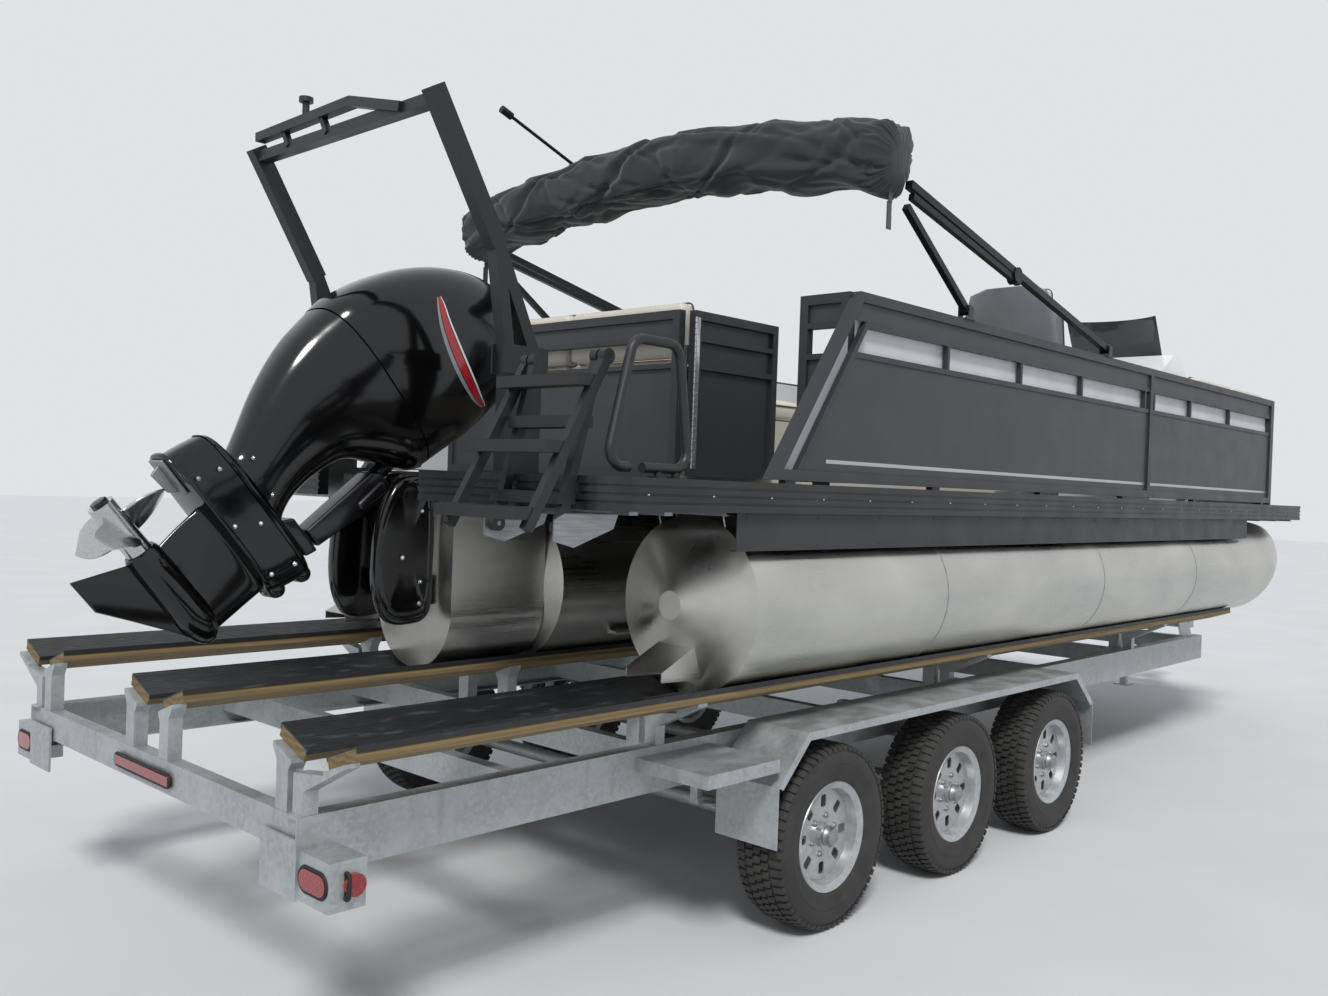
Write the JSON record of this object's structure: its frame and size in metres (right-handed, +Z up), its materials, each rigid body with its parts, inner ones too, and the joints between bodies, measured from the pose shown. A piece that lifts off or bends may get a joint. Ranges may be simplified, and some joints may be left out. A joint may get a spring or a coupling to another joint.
{
  "type": "pontoon boat",
  "caption": "Pontoon boat with three aluminium tubes, fenced deck, tilted outboard motor and folded canopy, standing on its bunk trailer.",
  "frame": {"origin": "on the ground under the middle of the whole, boat and trailer together", "axes": "+X to the bow and the trailer's coupler, +Y to port, +Z up"},
  "size_m": [9.7757, 2.6488, 3.3625],
  "materials": {
    "tube_aluminium": "bright brushed sheet",
    "beam_aluminium": "mill finish",
    "deck_covering": "woven vinyl",
    "black_rail": "ribbed black extrusion",
    "skirt_paint": "grey painted sheet",
    "fence_paint": "dark anodised tube",
    "panel_paint": "satin charcoal sheet",
    "liner_paint": "pale grey sheet",
    "moulded_base": "moulded grey beige",
    "upholstery": "cream marine vinyl",
    "console_shell": "white gel coat",
    "smoked_screen": "smoked acrylic",
    "wheel_grip": "black soft grip",
    "bright_post": "satin",
    "canopy_tube": "black anodised tube",
    "boot_fabric": "woven acrylic",
    "black_tube": "black powder coat",
    "motor_paint": "gloss black",
    "motor_cover": "gloss black moulding",
    "prop_steel": "polished stainless",
    "galvanised": "hot dip galvanised",
    "bunk_timber": "treated softwood",
    "bunk_cover": "ribbed black cap",
    "box_paint": "black painted box",
    "red_lens": "red lens",
    "tyre_rubber": "black rubber",
    "rim_paint": "silver paint"
  },
  "bodies": {
    "boat_and_trailer": {"port_tube": "tube_aluminium", "centre_tube": "tube_aluminium", "starboard_tube": "tube_aluminium", "deck_beams": "beam_aluminium", "deck": "deck_covering", "rub_rail": "black_rail", "side_skirts": "skirt_paint", "port_fence": "fence_paint", "starboard_fence": "fence_paint", "transom_fence": "fence_paint", "bow_fence": "fence_paint", "fence_panels": "panel_paint", "fence_liners": "liner_paint", "lounge_bases": "moulded_base", "lounge_cushions": "upholstery", "helm_console": "console_shell", "windscreen": "smoked_screen", "chair_pedestal": "bright_post", "tow_arch": "black_tube", "grab_hoop": "black_tube", "ladder_brackets": "beam_aluminium", "clamp_brackets": "motor_paint", "trailer_frame": "galvanised", "coupler": "galvanised", "jack_tube": "galvanised", "winch_post": "galvanised", "bunk_boards": "bunk_timber", "bunk_caps": "bunk_cover", "bunk_uprights": "galvanised", "axles": "galvanised", "springs": "galvanised", "fenders": "galvanised", "light_boxes": "box_paint", "lamps": "red_lens"},
    "swivel": {"swivel_bracket": "motor_paint"},
    "motor": {"motor_leg": "motor_paint", "motor_cowl": "motor_cover"},
    "propeller": {"propeller": "prop_steel"},
    "helm_wheel": {"helm_wheel": "wheel_grip"},
    "helm_chair": {"helm_chair": "upholstery"},
    "after_gate": {"after_gate": "fence_paint"},
    "bow_gate": {"bow_gate": "fence_paint"},
    "ladder_first_stage": {"ladder_inner": "black_tube"},
    "ladder_second_stage": {"ladder_outer": "black_tube"},
    "canopy": {"canopy_frame": "canopy_tube", "canopy_boot": "boot_fabric"},
    "canopy_braces": {"canopy_braces": "canopy_tube"},
    "jack_leg": {"jack_leg": "galvanised"},
    "port_wheel_1": {"port_rim_1": "rim_paint", "port_tyre_1": "tyre_rubber"},
    "port_wheel_2": {"port_rim_2": "rim_paint", "port_tyre_2": "tyre_rubber"},
    "port_wheel_3": {"port_rim_3": "rim_paint", "port_tyre_3": "tyre_rubber"},
    "starboard_wheel_1": {"starboard_rim_1": "rim_paint", "starboard_tyre_1": "tyre_rubber"},
    "starboard_wheel_2": {"starboard_rim_2": "rim_paint", "starboard_tyre_2": "tyre_rubber"},
    "starboard_wheel_3": {"starboard_rim_3": "rim_paint", "starboard_tyre_3": "tyre_rubber"}
  },
  "joints": [
    {"name": "motor_tilt", "type": "hinge", "parent": "boat_and_trailer", "child": "swivel", "pos_m": [-3.725, 0, 1.6], "axis": [0, 1, 0], "range_deg": [-10, 20]},
    {"name": "motor_steer", "type": "hinge", "parent": "swivel", "child": "motor", "pos_m": [-3.77, 0, 1.65362], "axis": [0.766, 0, 0.6428], "range_deg": [-30, 30]},
    {"name": "prop_spin", "type": "hinge", "parent": "motor", "child": "propeller", "pos_m": [-4.6554, 0, 1.35844], "axis": [0.6428, 0, -0.766], "continuous": true},
    {"name": "helm_wheel_turn", "type": "hinge", "parent": "boat_and_trailer", "child": "helm_wheel", "pos_m": [0.395, -0.86, 2.3], "axis": [-0.9063, 0, 0.4226], "range_deg": [-720, 720]},
    {"name": "helm_chair_turn", "type": "hinge", "parent": "boat_and_trailer", "child": "helm_chair", "pos_m": [-0.14, -0.8, 2.048], "axis": [0, 0, 1], "continuous": true},
    {"name": "after_gate_swing", "type": "hinge", "parent": "boat_and_trailer", "child": "after_gate", "pos_m": [-2.525, -0.378, 2], "axis": [0, 0, -1], "range_deg": [0, 90]},
    {"name": "bow_gate_swing", "type": "hinge", "parent": "boat_and_trailer", "child": "bow_gate", "pos_m": [3.015, -0.374, 2], "axis": [0, 0, 1], "range_deg": [0, 90]},
    {"name": "ladder_fold", "type": "hinge", "parent": "boat_and_trailer", "child": "ladder_first_stage", "pos_m": [-3.906, -0.995, 1.489], "axis": [0, -1, 0], "range_deg": [0, 175]},
    {"name": "ladder_unfold", "type": "hinge", "parent": "ladder_first_stage", "child": "ladder_second_stage", "pos_m": [-3.768, -0.995, 2.011], "axis": [0, -1, 0], "range_deg": [-167, 0]},
    {"name": "canopy_swing", "type": "hinge", "parent": "boat_and_trailer", "child": "canopy", "pos_m": [-0.23, 0, 2.422], "axis": [0, 1, 0], "range_deg": [0, 75]},
    {"name": "brace_fold", "type": "hinge", "parent": "boat_and_trailer", "child": "canopy_braces", "pos_m": [-1.72, 0, 2.422], "axis": [0, -1, 0], "range_deg": [0, 30]},
    {"name": "jack_slide", "type": "slide", "parent": "boat_and_trailer", "child": "jack_leg", "axis": [0, 0, 1], "range_m": [-0.15, 0.3]},
    {"name": "port_wheel_spin_1", "type": "hinge", "parent": "boat_and_trailer", "child": "port_wheel_1", "pos_m": [-2.61, 0, 0.344], "axis": [0, 1, 0], "continuous": true},
    {"name": "port_wheel_spin_2", "type": "hinge", "parent": "boat_and_trailer", "child": "port_wheel_2", "pos_m": [-1.67, 0, 0.344], "axis": [0, 1, 0], "continuous": true},
    {"name": "port_wheel_spin_3", "type": "hinge", "parent": "boat_and_trailer", "child": "port_wheel_3", "pos_m": [-0.73, 0, 0.344], "axis": [0, 1, 0], "continuous": true},
    {"name": "starboard_wheel_spin_1", "type": "hinge", "parent": "boat_and_trailer", "child": "starboard_wheel_1", "pos_m": [-2.61, 0, 0.344], "axis": [0, 1, 0], "continuous": true},
    {"name": "starboard_wheel_spin_2", "type": "hinge", "parent": "boat_and_trailer", "child": "starboard_wheel_2", "pos_m": [-1.67, 0, 0.344], "axis": [0, 1, 0], "continuous": true},
    {"name": "starboard_wheel_spin_3", "type": "hinge", "parent": "boat_and_trailer", "child": "starboard_wheel_3", "pos_m": [-0.73, 0, 0.344], "axis": [0, 1, 0], "continuous": true}
  ],
  "couplings": [
    {"joint": "motor_steer", "follows": "helm_wheel_turn", "ratio": -0.041667}
  ]
}
